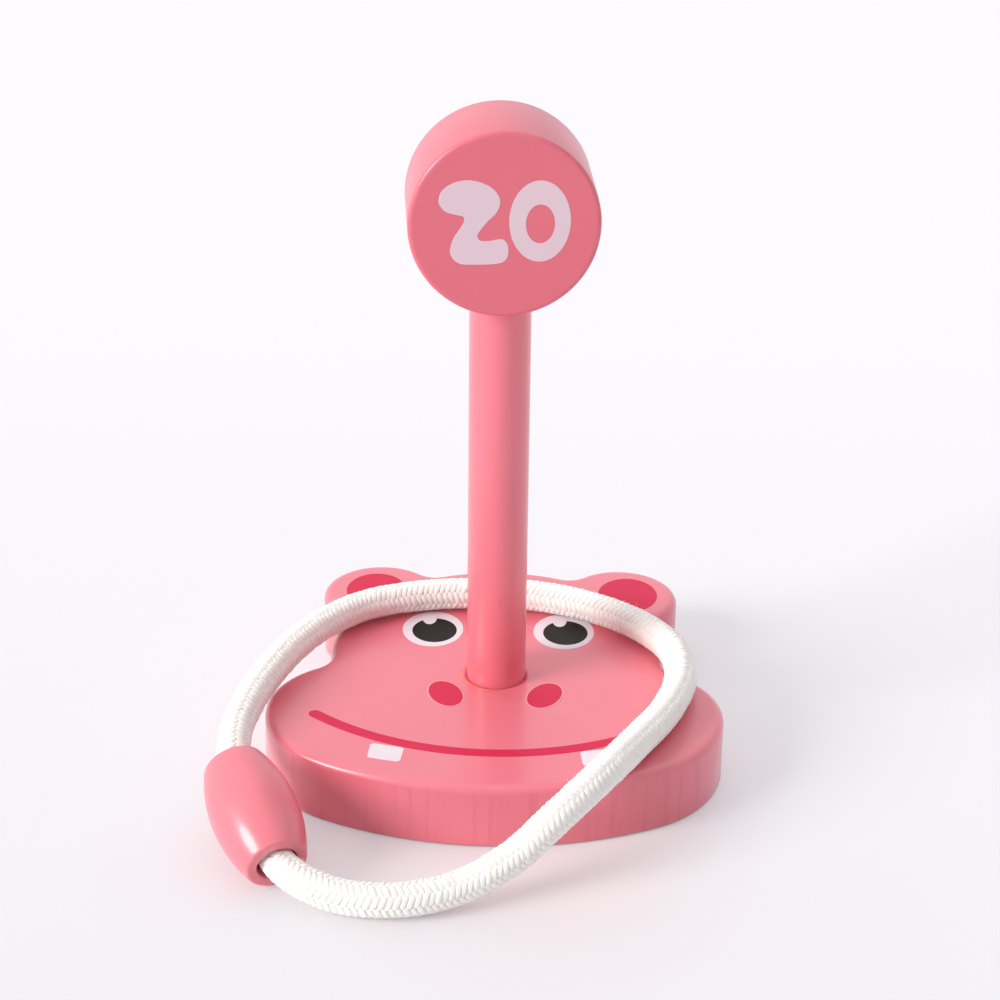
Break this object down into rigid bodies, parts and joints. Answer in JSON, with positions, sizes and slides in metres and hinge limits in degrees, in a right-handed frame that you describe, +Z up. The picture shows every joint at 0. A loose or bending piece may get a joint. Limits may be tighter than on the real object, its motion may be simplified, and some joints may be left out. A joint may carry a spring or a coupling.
{
  "type": "ring toss target",
  "caption": "Ring-toss target in painted wood: a hippo-head base plate, a post with a round score disc, and a cotton rope ring whose ends meet in a barrel bead.",
  "frame": {"origin": "middle of the base plate's box, on the surface that the plate stands on", "axes": "+Z up along the post, -Y out of the front of the face and of the score disc, +X to the right of someone who looks at the front"},
  "size_m": [0.118, 0.1367, 0.1546],
  "materials": {
    "base_paint": "satin pink paint on wood",
    "post_paint": "satin pink paint on wood",
    "disc_paint": "satin pink paint on wood",
    "bead_paint": "semi-gloss pink paint on wood",
    "rope_cotton": "braided natural cotton",
    "print_white": "printed ink",
    "print_black": "printed ink",
    "print_magenta": "printed ink"
  },
  "bodies": {
    "base": {"base_plate": "base_paint"},
    "post": {"post": "post_paint", "score_disc": "disc_paint"},
    "ring": {"rope": "rope_cotton", "joining_bead": "bead_paint"}
  },
  "joints": [
    {"name": "post_pull", "type": "slide", "parent": "base", "child": "post", "axis": [0, 0, 1], "range_m": [0, 0.015]},
    {"name": "ring_lift", "type": "slide", "parent": "base", "child": "ring", "axis": [0, 0, 1], "range_m": [0, 0.18]}
  ]
}
